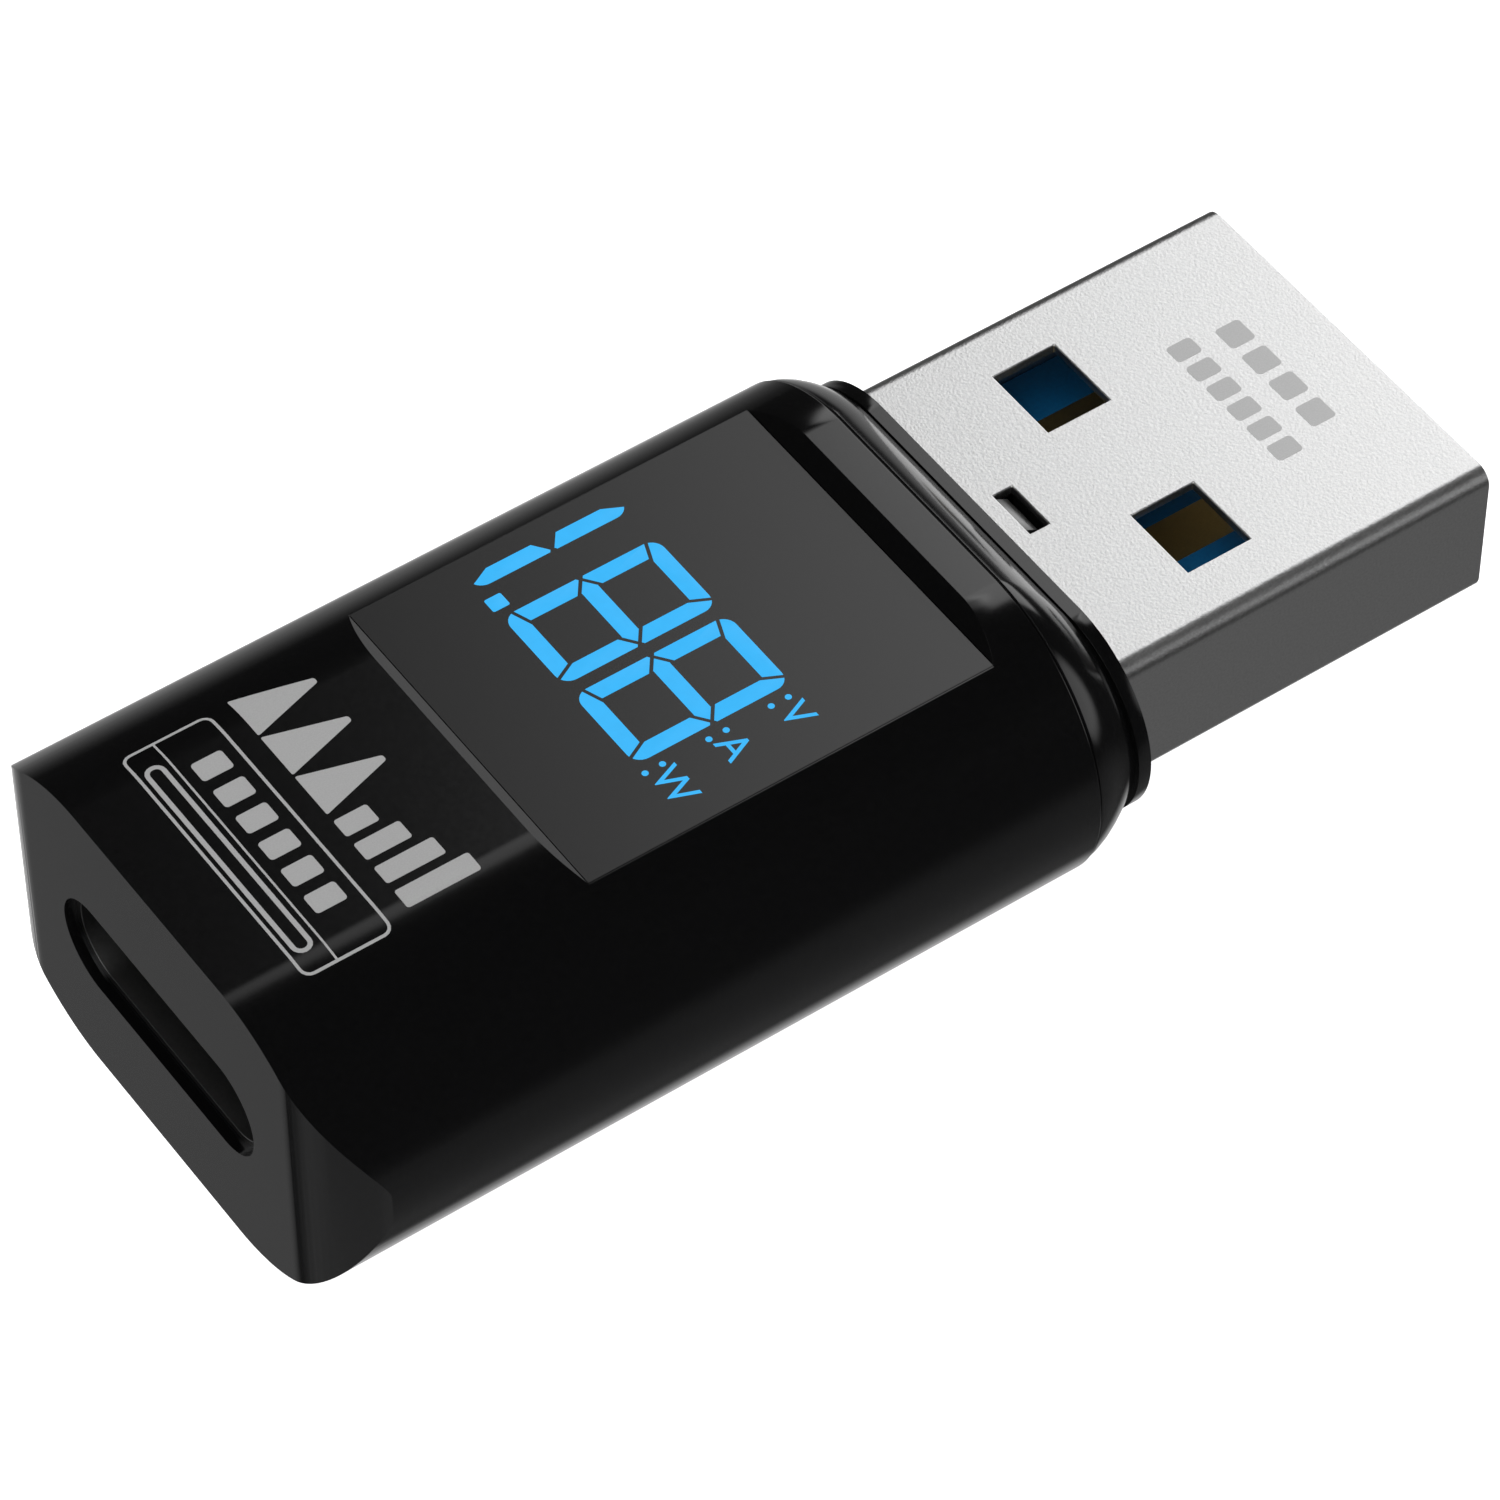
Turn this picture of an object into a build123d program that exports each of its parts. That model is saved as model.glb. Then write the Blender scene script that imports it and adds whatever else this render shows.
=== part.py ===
"""USB power meter: an in-line adapter with a USB-A plug at one end, a USB-C socket at the other and a small
segment display in the top of the housing that shows volts, amps or watts.

Frame: millimetres, +X towards the plug tip, +Y to the left, +Z up.  The origin is under the middle of the
bounding box, on the surface that the flat underside rests on.  Heights inside are given from the axis, which
plug, housing and socket share, and lift() moves them to the row frame when a part is written.
"""
from build123d import *
import math
import os

# ---------------------------------------------------------------- overall sizes
total_length = 37.0          # plug tip to socket face
body_width = 16.1
body_height = 9.56
plug_reach = 12.0            # plug shell standing out of the collar
collar_length = 0.38
taper_length = 1.62          # from the housing's end to the collar
axis_height = body_height / 2

x_tip = total_length / 2
x_face = -total_length / 2
x_collar = x_tip - plug_reach
x_neck = x_collar - collar_length
x_joint = x_neck - taper_length       # where the end cap meets the sleeve

# ---------------------------------------------------------------- housing
wall = 1.4
mouth_wall = 0.8             # thinner wall where the end cap plugs in
mouth_to_window = 0.15       # the mouth's step stops this short of the window
front_wall = 1.2
port_lip = 0.36
front_corner_radius = 2.25   # seen from above
front_flat_half = 5.85       # half the flat width of the socket face
sleeve_edge_round = 0.25
fit_gap = 0.05               # between pieces that are pushed together
cavity_width = body_width - 2 * wall
cavity_height = body_height - 2 * wall
x_cavity = x_face + front_wall

# ---------------------------------------------------------------- end cap
seam_step = 0.05             # the cap is this much inside the sleeve's surface
neck_width = 14.5
neck_height = 6.1
collar_width = 14.9
collar_height = 6.4
collar_round = 0.15

# ---------------------------------------------------------------- display window and its pocket
pocket_depth = 0.46
window_length = 12.23
window_width = 10.3
window_offset = 1.5          # window edge to the sleeve's end
mouth_depth = window_offset - mouth_to_window
window_thickness = 0.25
tape_thickness = 0.10
tape_border = 0.7
flange_thickness = 0.30
ledge = 0.35
window_gap = 0.03
z_window = axis_height - pocket_depth
x_window_far = x_joint - window_offset
x_window_near = x_window_far - window_length
x_window_mid = (x_window_far + x_window_near) / 2
z_mask_top = z_window - window_thickness - tape_thickness
z_ledge = z_mask_top - flange_thickness

# ---------------------------------------------------------------- digits, measured from the window's centre
digit_height = 4.3
digit_x = -0.65              # middle of the digits along X
one_margin = 0.90            # window edge to the middle of the leading one
unit_margin = 1.03           # window edge to the middle of the unit letters
one_y = window_width / 2 - one_margin
unit_y = unit_margin - window_width / 2
digit_band = one_y - unit_y  # the full digits are shared out over this
digit_y = (one_y - 0.290 * digit_band, one_y - 0.665 * digit_band)
digit_width = 0.305 * digit_band
point_y = one_y - 0.075 * digit_band
segment_width = 0.44
segment_gap = 0.07
unit_pitch = 1.88
unit_height = 0.80
unit_stroke = 0.12
unit_dot = 0.15
guide_gap = 0.02             # light guide to its cavity
mask_depth = 0.75            # mask below its flange
led_gap = 0.10
led_size = (0.50, 0.26, 0.20)

# ---------------------------------------------------------------- USB-A plug
plug_width = 12.0
plug_height = 4.5
plug_edge_round = 0.49
plug_sheet = 0.30
plug_length = 18.75
tang_length = 1.3            # tangs of the shell in the board's notches
tang_height = 2.0
plug_hole_x = 6.47           # tip to the near edge of the latch windows
plug_hole_length = 2.0
plug_hole_width = 2.42
plug_hole_y = 3.0
stake_x = 10.37              # tip to the small stake window
stake_length = 0.60
stake_width = 1.60
seam_slit = 0.05
dovetail_x = 4.2             # tip to the middle of the seam's dovetail
dovetail_neck = 0.5
dovetail_head = 0.8
dovetail_height = 1.1
tongue_setback = 0.35
cavity_depth = 11.75
anchor_length = 1.6          # cross block at the cavity's end that the stake locks into
z_anchor = 0.45              # its underside, clear above the springs
z_tongue = -0.20
pad_thickness = 0.20
pad_width = 1.4
pad_tail_width = 0.5
pad_y = (-3.35, -1.35, 1.35, 3.35)
pad_start = (1.0, 1.9, 1.9, 1.0)     # power pads reach further forward
pad_end = 8.45
spring_y = (-4.0, -2.0, 0.0, 2.0, 4.0)
spring_width = 0.40
spring_thickness = 0.15
spring_root = 11.95          # tip to the spring's root
spring_length = 2.75
z_spring_root = -0.78
spring_proud = 0.25
spring_side_gap = 0.08

# ---------------------------------------------------------------- USB-C socket
socket_inner_width = 8.34
socket_inner_height = 2.56
socket_sheet = 0.30
socket_length = 8.0
socket_depth = 6.2
port_width = socket_inner_width + 0.41
port_height = socket_inner_height + 0.39
blade_width = 6.69
blade_thickness = 0.70
blade_setback = 1.25
blade_root_length = 0.95
blade_root_thickness = 1.30
socket_pitch = 0.5
socket_ways = 12
socket_pad_width = 0.24
socket_pad_thickness = 0.12
mid_plate_thickness = 0.14

# ---------------------------------------------------------------- boards
board_thickness = 0.8
board_side_gap = 0.25
board_width = cavity_width - 2 * board_side_gap
board_end_gap = 0.6          # socket end of the board to the front wall
display_board_thickness = 0.4
display_board_width = window_width - 0.4
rail_depth = 0.75
rail_thickness = 0.6
pin_size = 0.4
pin_pitch = 1.27
pins_in_row = 6
pin_row_inset = (0.5, 2.1)   # from the display board's two ends

x_socket = x_face + port_lip          # front edge of the socket shell
x_socket_back = x_socket + socket_length
x_plug_back = x_tip - plug_length
x_board_front = x_plug_back - 0.25
x_board_back = x_cavity + board_end_gap
z_board = board_thickness / 2

os.makedirs("parts", exist_ok=True)


# ---------------------------------------------------------------- helpers
def block(x0, x1, y0, y1, z0, z1):
    """A box between two corners."""
    return Pos((x0 + x1) / 2, (y0 + y1) / 2, (z0 + z1) / 2) * Box(x1 - x0, y1 - y0, z1 - z0)


def slot_bar(width, height, x0, x1):
    """A bar along X with fully rounded sides."""
    return extrude(Plane.YZ.offset(x0) * SlotOverall(width, height), amount=x1 - x0)


def round_bar(width, height, radius, x0, x1):
    """A bar along X with rounded corners."""
    return extrude(Plane.YZ.offset(x0) * RectangleRounded(width, height, radius), amount=x1 - x0)


def side_prism(points, y0, y1):
    """A prism along Y from a closed outline of (x, z) points."""
    outline = Polyline(*[(x, y0, z) for x, z in points], close=True)
    return extrude(make_face(outline), amount=y1 - y0, dir=(0, 1, 0))


def strip_outline(path, thickness):
    """The outline of a thin strip that follows a path of (x, z) points, with mitred bends."""
    half = thickness / 2
    normals = []
    for (xa, za), (xb, zb) in zip(path, path[1:]):
        length = math.hypot(xb - xa, zb - za)
        normals.append(((za - zb) / length, (xb - xa) / length))
    left, right = [], []
    for i, (x, z) in enumerate(path):
        before = normals[max(i - 1, 0)]
        after = normals[min(i, len(normals) - 1)]
        nx, nz = before[0] + after[0], before[1] + after[1]
        scale = 2 * half / (nx * nx + nz * nz)
        left.append((x + nx * scale, z + nz * scale))
        right.append((x - nx * scale, z - nz * scale))
    return left + right[::-1]


def strip(path, thickness, y, width):
    """A flat contact strip of one width that follows a path of (x, z) points."""
    return side_prism(strip_outline(path, thickness), y - width / 2, y + width / 2)


def lift(shape):
    """From heights about the axis to the row frame."""
    return Pos(0, 0, axis_height) * shape


def write(name, *shapes):
    """One node: its solids, lifted to the row frame, in one STEP file."""
    solids = [s for shape in shapes for s in lift(shape).solids()]
    node = solids[0] if len(solids) == 1 else Compound(children=solids)
    node.label = name
    export_step(node, f"parts/{name}.step")
    print(name, len(solids), "solid(s)", round(sum(s.volume for s in solids), 3), "mm3")


# ---------------------------------------------------------------- housing sleeve
def front_corner_cutters():
    """What rounds the socket end's two upright corners, seen from above."""
    cutters = []
    for side in (1, -1):
        y_centre = side * front_flat_half
        y_out = side * (body_width / 2 + 1)
        corner = block(
            x_face - 1, x_face + front_corner_radius,
            min(y_centre, y_out), max(y_centre, y_out), -body_height, body_height,
        )
        keep = Pos(x_face + front_corner_radius, y_centre, 0) * Cylinder(front_corner_radius, 3 * body_height)
        cutters.append(corner - keep)
    return cutters


def window_pocket():
    """The flat cut in the top that the window lies in, with 45 degree ends."""
    rise = 2 * pocket_depth
    outline = [
        (x_window_near, z_window), (x_window_far, z_window),
        (x_window_far + rise, z_window + rise), (x_window_near - rise, z_window + rise),
    ]
    return side_prism(outline, -body_width, body_width)


def board_rails():
    """Two ribs on each inner wall that the main board slides between."""
    inner = cavity_width / 2
    rails = []
    for side in (1, -1):
        y0, y1 = sorted((side * (inner - rail_depth), side * (inner + wall / 2)))
        for up in (1, -1):
            z0, z1 = sorted((up * (z_board + fit_gap), up * (z_board + fit_gap + rail_thickness)))
            rails.append(block(x_cavity - 0.2, x_plug_back - tang_length - 0.2, y0, y1, z0, z1))
    return rails


def housing_sleeve():
    outer = slot_bar(body_width, body_height, x_face, x_joint)
    end_edges = outer.edges().filter_by_position(Axis.X, x_joint - 0.01, x_joint + 0.01)
    sleeve = fillet(end_edges, sleeve_edge_round)
    for cutter in front_corner_cutters():
        sleeve -= cutter
    sleeve -= slot_bar(cavity_width, cavity_height, x_cavity, x_joint + 1)
    sleeve -= slot_bar(
        body_width - 2 * mouth_wall, body_height - 2 * mouth_wall, x_joint - mouth_depth, x_joint + 1
    )
    for rail in board_rails():
        sleeve += rail
    sleeve -= round_bar(
        plug_width + 2 * fit_gap, plug_height + 2 * fit_gap, plug_edge_round + fit_gap,
        x_plug_back - tang_length - 0.1, x_joint + 1,
    )
    sleeve -= slot_bar(port_width, port_height, x_face - 1, x_cavity)
    shell_width = socket_inner_width + 2 * (socket_sheet + fit_gap)
    shell_height = socket_inner_height + 2 * (socket_sheet + fit_gap)
    sleeve -= slot_bar(shell_width, shell_height, x_socket, x_cavity)
    sleeve -= window_pocket()
    half = window_width / 2
    sleeve -= block(x_window_near, x_window_far, -half, half, z_ledge, z_window + 0.01)
    sleeve -= block(
        x_window_near + ledge, x_window_far - ledge, -half + ledge, half - ledge,
        cavity_height / 2 - 1, z_ledge + 0.01,
    )
    return sleeve


# ---------------------------------------------------------------- end cap
def end_cap():
    spigot = slot_bar(
        body_width - 2 * (mouth_wall + fit_gap), body_height - 2 * (mouth_wall + fit_gap),
        x_joint - mouth_depth + fit_gap, x_joint + fit_gap,
    )
    wide = Plane.YZ.offset(x_joint + fit_gap / 2) * SlotOverall(
        body_width - 2 * seam_step, body_height - 2 * seam_step
    )
    narrow = Plane.YZ.offset(x_neck) * SlotOverall(neck_width, neck_height)
    taper = loft([wide, narrow])
    collar = slot_bar(collar_width, collar_height, x_neck, x_collar)
    collar = fillet(collar.edges().filter_by_position(Axis.X, x_neck - 0.01, x_collar + 0.01)
                    .filter_by(lambda e: abs(e.bounding_box().size.X) < 0.01), collar_round)
    cap = spigot + taper + collar
    bore = round_bar(
        plug_width + 2 * fit_gap, plug_height + 2 * fit_gap, plug_edge_round + fit_gap,
        x_joint - mouth_depth - 1, x_collar + 1,
    )
    return cap - bore


# ---------------------------------------------------------------- display
def segment(length, width, upright):
    """One bar of a digit: a bar with pointed ends, centred on the origin."""
    half, tip = length / 2, width / 2
    points = [
        (-half, 0), (-half + tip, tip), (half - tip, tip),
        (half, 0), (half - tip, -tip), (-half + tip, -tip),
    ]
    if upright:
        return make_face(Polyline(*points, close=True))
    return make_face(Polyline(*[(y, x) for x, y in points], close=True))


def full_digit(y_middle):
    """Seven bars of one digit.  The digit's top points to +X and its left side to +Y."""
    reach = (digit_height - segment_width) / 2
    side = (digit_width - segment_width) / 2
    long_bar = reach - segment_gap
    cross_bar = 2 * side - segment_gap
    bars = []
    for along in (reach, 0, -reach):
        bars.append(Pos(digit_x + along, y_middle) * segment(cross_bar, segment_width, upright=False))
    for along in (reach / 2, -reach / 2):
        for across in (side, -side):
            bars.append(Pos(digit_x + along, y_middle + across) * segment(long_bar, segment_width, upright=True))
    return bars


def leading_one():
    reach = (digit_height - segment_width) / 2
    return [
        Pos(digit_x + along, one_y) * segment(reach - segment_gap, segment_width, upright=True)
        for along in (reach / 2, -reach / 2)
    ]


def decimal_point():
    x = digit_x - (digit_height - segment_width) / 2
    return [Pos(x, point_y) * Rectangle(segment_width * 0.9, segment_width)]


def stroke(start, end, grow):
    """One stroke of a unit letter, from start to end, each (across, up)."""
    (ya, xa), (yb, xb) = start, end
    length = math.hypot(yb - ya, xb - xa)
    angle = math.degrees(math.atan2(yb - ya, xb - xa))
    bar = Pos(length / 2, 0) * Rectangle(length + unit_stroke * 0.7 + 2 * grow, unit_stroke + 2 * grow)
    return Pos(xa, ya) * Rot(0, 0, angle) * bar


def unit_letter(strokes, x, y, grow):
    """A letter from strokes given in (across, up) shares of its height; across runs towards -Y."""
    sketch = None
    for start, end in strokes:
        a = (-start[0] * unit_height, start[1] * unit_height)
        b = (-end[0] * unit_height, end[1] * unit_height)
        bar = stroke(a, b, grow)
        sketch = bar if sketch is None else sketch + bar
    return Pos(x, y) * sketch


# The bar of the A stops short of its left leg, so that the mask between them stays in one piece.
letter_v = [((-0.42, 0.5), (0, -0.5)), ((0, -0.5), (0.42, 0.5))]
letter_a = [((-0.42, -0.5), (0, 0.5)), ((0, 0.5), (0.42, -0.5)), ((-0.02, -0.16), (0.26, -0.16))]
letter_w = [
    ((-0.56, 0.5), (-0.28, -0.5)), ((-0.28, -0.5), (0, 0.42)),
    ((0, 0.42), (0.28, -0.5)), ((0.28, -0.5), (0.56, 0.5)),
]


def unit_marks(grow):
    """V, A and W, one above the other, each with two dots before it."""
    marks = []
    for row, strokes in zip((1, 0, -1), (letter_v, letter_a, letter_w)):
        x = digit_x + row * unit_pitch
        marks.append(unit_letter(strokes, x, unit_y, grow))
        for up in (0.28, -0.28):
            dot_y = unit_y + 0.78 * unit_height
            marks.append(Pos(x + up * unit_height, dot_y) * Circle(unit_dot / 2 + grow))
    return marks


def on_window(face):
    """From the window's own plane to the part's frame."""
    return Pos(x_window_mid, 0, 0) * face


digit_faces = full_digit(digit_y[0]) + full_digit(digit_y[1]) + leading_one() + decimal_point()
unit_faces = unit_marks(0)
z_guide_top = z_window - window_thickness - 0.01
z_guide_foot = z_ledge - mask_depth


def light_guide(face):
    """A clear bar from above its light source up to the window."""
    return Pos(0, 0, z_guide_foot) * extrude(on_window(face), amount=z_guide_top - z_guide_foot, dir=(0, 0, 1))


def guide_cavities():
    """What the light guides need cut out of the mask: their outlines, grown by the gap."""
    grown = [offset(face, amount=guide_gap, kind=Kind.INTERSECTION) for face in digit_faces]
    grown += unit_marks(guide_gap)
    return [Pos(0, 0, z_guide_foot - 0.1) * extrude(on_window(f), amount=2, dir=(0, 0, 1)) for f in grown]


def display_mask():
    half = window_width / 2
    flange = block(
        x_window_near + window_gap, x_window_far - window_gap, -half + window_gap, half - window_gap,
        z_ledge, z_mask_top,
    )
    inset = ledge + fit_gap
    mask = flange + block(
        x_window_near + inset, x_window_far - inset, -half + inset, half - inset, z_guide_foot, z_ledge
    )
    # The mask is hollow past the digits, towards the plug.
    mask -= block(x_window_mid + 2.4, x_window_far - inset - 0.6, -half + 1, half - 1, z_guide_foot - 1, z_ledge)
    for cavity in guide_cavities():
        mask -= cavity
    # Above the plug shell it stays clear of the steel.
    mask -= block(
        x_plug_back - 0.1, x_tip, -plug_width, plug_width, -body_height, plug_height / 2 + fit_gap
    )
    return mask


def window_tape():
    half = window_width / 2
    z0, z1 = z_mask_top, z_window - window_thickness
    outer = block(x_window_near + 0.1, x_window_far - 0.1, -half + 0.1, half - 0.1, z0, z1)
    hole = block(
        x_window_near + tape_border, x_window_far - tape_border,
        -half + 0.35, half - 0.35, z0 - 1, z1 + 1,
    )
    return outer - hole


def display_window():
    half = window_width / 2
    return block(
        x_window_near + window_gap, x_window_far - window_gap, -half + window_gap, half - window_gap,
        z_window - window_thickness, z_window,
    )


# ---------------------------------------------------------------- display board
z_led_top = z_guide_foot - led_gap
z_display_board = z_led_top - led_size[2]
x_display_board = (x_window_near + 0.6, x_plug_back - 0.25)
pin_rows_x = (x_display_board[0] + pin_row_inset[0], x_display_board[1] - pin_row_inset[1])


def face_middle(face):
    middle = face.bounding_box().center()
    return middle.X + x_window_mid, middle.Y


def led_chips():
    """A chip under every light guide bar, and one under each unit letter."""
    lit = digit_faces + unit_faces[::3]
    chips = []
    for face in lit:
        x, y = face_middle(face)
        size = face.bounding_box().size
        along = size.X >= size.Y
        dx, dy = (led_size[0], led_size[1]) if along else (led_size[1], led_size[0])
        chips.append(block(x - dx / 2, x + dx / 2, y - dy / 2, y + dy / 2, z_display_board, z_led_top))
    return chips


def pin_places():
    first = -(pins_in_row - 1) / 2 * pin_pitch
    return [(x, first + i * pin_pitch) for x in pin_rows_x for i in range(pins_in_row)]


def display_board():
    half = display_board_width / 2
    board = block(
        x_display_board[0], x_display_board[1], -half, half,
        z_display_board - display_board_thickness, z_display_board,
    )
    for x, y in pin_places():
        board -= Pos(x, y, z_display_board) * Cylinder(pin_size * 0.75, 2)
    return board


def display_pins():
    s = pin_size / 2
    return [
        block(x - s, x + s, y - s, y + s, -z_board - 0.3, z_display_board - 0.05) for x, y in pin_places()
    ]


# ---------------------------------------------------------------- USB-A plug
def plug_shell():
    shell = round_bar(plug_width, plug_height, plug_edge_round, x_plug_back, x_tip)
    shell -= round_bar(
        plug_width - 2 * plug_sheet, plug_height - 2 * plug_sheet, plug_edge_round - plug_sheet + 0.05,
        x_plug_back - 1, x_tip + 1,
    )
    x1 = x_tip - plug_hole_x
    for side in (1, -1):
        y0 = side * plug_hole_y - plug_hole_width / 2
        shell -= block(x1 - plug_hole_length, x1, y0, y0 + plug_hole_width, -plug_height, plug_height)
    x1 = x_tip - stake_x
    half = stake_width / 2
    top = plug_height / 2
    shell -= block(x1 - stake_length, x1, -half, half, 0, plug_height)
    # The stake is a tongue of the sheet, pushed down into the insulator at the window's back edge.
    stake = [(x1 - stake_length, top), (x1 - stake_length + 0.36, top - 0.15),
             (x1 - stake_length + 0.40, top - 0.75), (x1 - stake_length + 0.14, top - 0.75),
             (x1 - stake_length + 0.05, top - 0.45), (x1 - stake_length - 0.16, top - 0.27)]
    shell += side_prism(stake, -half + 0.15, half - 0.15)
    # The rolled sheet meets in a seam along the underside, with one dovetail that locks it.
    slit = seam_slit / 2
    x_lock = x_tip - dovetail_x
    for x0, x1 in ((x_plug_back - 1, x_lock - dovetail_neck), (x_lock + dovetail_neck, x_tip + 1)):
        shell -= block(x0, x1, -slit, slit, -plug_height, -top + 2 * plug_sheet)
    outline = [(-dovetail_neck, 0), (-dovetail_head, dovetail_height),
               (dovetail_head, dovetail_height), (dovetail_neck, 0)]
    band = band_along(outline, seam_slit)
    shell -= Pos(x_lock, 0, -top - 0.5) * extrude(band, amount=2 * plug_sheet + 0.5, dir=(0, 0, 1))
    for side in (1, -1):
        y0, y1 = sorted((side * (plug_width / 2 - plug_sheet), side * plug_width / 2))
        shell += block(
            x_plug_back - tang_length, x_plug_back + 0.01, y0, y1, -tang_height / 2, tang_height / 2
        )
    return shell


def band_along(points, width):
    """A narrow band along straight lines through the points."""
    band = None
    for (xa, ya), (xb, yb) in zip(points, points[1:]):
        angle = math.degrees(math.atan2(yb - ya, xb - xa))
        length = math.hypot(xb - xa, yb - ya) + width
        bar = Pos((xa + xb) / 2, (ya + yb) / 2) * Rot(0, 0, angle) * Rectangle(length, width)
        band = bar if band is None else band + bar
    return band


def pad_path(start):
    z = z_tongue - pad_thickness / 2
    z_tail = -z_board - pad_thickness / 2
    back = x_plug_back + 0.15
    return [(x_tip - start, z), (back, z), (back - 0.25, z_tail), (x_board_front - 1.5, z_tail)]


def plug_pads():
    """Power and data contacts: a wide pad on the tongue and a narrower tail to the board's underside."""
    pads = []
    for y, start in zip(pad_y, pad_start):
        z = z_tongue - pad_thickness
        wide = block(
            x_tip - pad_end, x_tip - start, y - pad_width / 2, y + pad_width / 2, z, z_tongue
        )
        pads.append(wide + strip(pad_path(start + 0.5), pad_thickness, y, pad_tail_width))
    return pads


def spring_tail(y):
    z_tail = z_board + spring_thickness / 2
    riser = x_plug_back + 0.12
    path = [(x_tip - spring_root - 0.03, z_spring_root), (riser, z_spring_root), (riser, z_tail),
            (x_board_front - 1.4, z_tail)]
    return strip(path, spring_thickness, y, spring_width)


def spring_beam(y):
    """A high-speed contact: a beam that rises to a rounded hump above the tongue."""
    root = x_tip - spring_root + 0.03
    hump = z_tongue + spring_proud - spring_thickness / 2
    path = [(root, z_spring_root), (root + 0.45 * spring_length, z_spring_root + 0.22),
            (root + 0.76 * spring_length, hump - 0.08), (root + 0.84 * spring_length, hump),
            (root + 0.92 * spring_length, hump - 0.08), (root + spring_length, hump - 0.32)]
    return strip(path, spring_thickness, y, spring_width)


def plug_insulator():
    clear = 0.02
    body = round_bar(
        plug_width - 2 * (plug_sheet + clear), plug_height - 2 * (plug_sheet + clear), 0.2,
        x_plug_back + 0.35, x_tip - tongue_setback,
    )
    body -= block(x_tip - cavity_depth, x_tip + 1, -plug_width, plug_width, z_tongue, z_anchor)
    body -= block(
        x_tip - cavity_depth + anchor_length, x_tip + 1, -plug_width, plug_width, z_tongue, plug_height
    )
    for y, start in zip(pad_y, pad_start):
        body -= block(
            x_tip - pad_end, x_tip - start, y - pad_width / 2, y + pad_width / 2,
            z_tongue - pad_thickness, z_tongue + 0.01,
        )
        body -= strip(pad_path(start + 0.5), pad_thickness, y, pad_tail_width)
    slot = spring_width + 2 * spring_side_gap
    for y in spring_y:
        body -= block(
            x_tip - spring_root - 0.02, x_tip - spring_root + spring_length + 0.25, y - slot / 2, y + slot / 2,
            z_spring_root - 0.45, z_tongue + 0.5,
        )
        body -= spring_tail(y)
    # A notch takes the stake that the shell pushes into the block.
    x1 = x_tip - stake_x
    body -= block(x1 - stake_length - 0.3, x1 + 0.1, -stake_width / 2, stake_width / 2, 1.0, plug_height)
    return body


# ---------------------------------------------------------------- USB-C socket
shell_outer_width = socket_inner_width + 2 * socket_sheet
shell_outer_height = socket_inner_height + 2 * socket_sheet


def socket_shell():
    shell = slot_bar(shell_outer_width, shell_outer_height, x_socket, x_socket_back)
    shell -= slot_bar(socket_inner_width, socket_inner_height, x_socket - 1, x_socket_back + 1)
    for side in (1, -1):
        for x in (x_socket + 2.2, x_socket_back - 2.2):
            y_end = cavity_width / 2 - rail_depth - 0.5
            y0, y1 = sorted((side * (shell_outer_width / 2 - 0.12), side * y_end))
            shell += block(x, x + 1.2, y0, y1, z_board, z_board + 0.2)
    return shell


def socket_pad_places():
    first = -(socket_ways - 1) / 2 * socket_pitch
    return [first + i * socket_pitch for i in range(socket_ways)]


def socket_pad(y, up):
    """One contact: flush in the blade, back through the base, and a tail on the board."""
    z = up * (blade_thickness - socket_pad_thickness) / 2
    z_tail = up * (z_board + socket_pad_thickness / 2)
    power = abs(y) > 2 * socket_pitch * 2.4 or 1.5 < abs(y) < 2.0
    start = x_socket + blade_setback + (0.2 if power else 0.7)
    back = x_socket_back - 0.05
    path = [(start, z), (back, z), (back + 0.2, z_tail), (back + 1.15, z_tail)]
    return strip(path, socket_pad_thickness, y, socket_pad_width)


def socket_pads(up):
    return [socket_pad(y, up) for y in socket_pad_places()]


def mid_plate():
    half = mid_plate_thickness / 2
    plate = block(
        x_socket + blade_setback + 0.15, x_socket_back - 0.4, -blade_width / 2, blade_width / 2, -half, half
    )
    for x in (x_socket + 4.2, x_socket + 5.4):
        for y in (-1.6, 0, 1.6):
            plate -= Pos(x, y, 0) * Cylinder(0.25, 1)
    return plate


def ground_plates():
    x0 = x_socket + socket_depth - blade_root_length
    plates = []
    for up in (1, -1):
        z0, z1 = sorted((up * blade_root_thickness / 2, up * (blade_root_thickness / 2 + 0.12)))
        plates.append(block(x0 + 0.1, x0 + blade_root_length, -2.9, 2.9, z0, z1))
    return plates


def socket_insulator():
    clear = 0.02
    x_base = x_socket + socket_depth
    base = slot_bar(socket_inner_width - 2 * clear, socket_inner_height - 2 * clear, x_base, x_socket_back - 0.1)
    root = block(
        x_base - blade_root_length, x_base, -blade_width / 2, blade_width / 2,
        -blade_root_thickness / 2, blade_root_thickness / 2,
    )
    blade = block(
        x_socket + blade_setback, x_base, -blade_width / 2, blade_width / 2,
        -blade_thickness / 2, blade_thickness / 2,
    )
    nose = blade.edges().filter_by(Axis.Z).filter_by_position(
        Axis.X, x_socket + blade_setback - 0.01, x_socket + blade_setback + 0.01
    )
    body = base + root + fillet(nose, 0.4)
    body -= mid_plate()
    for up in (1, -1):
        for pad in socket_pads(up):
            body -= pad
    return body


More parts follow.
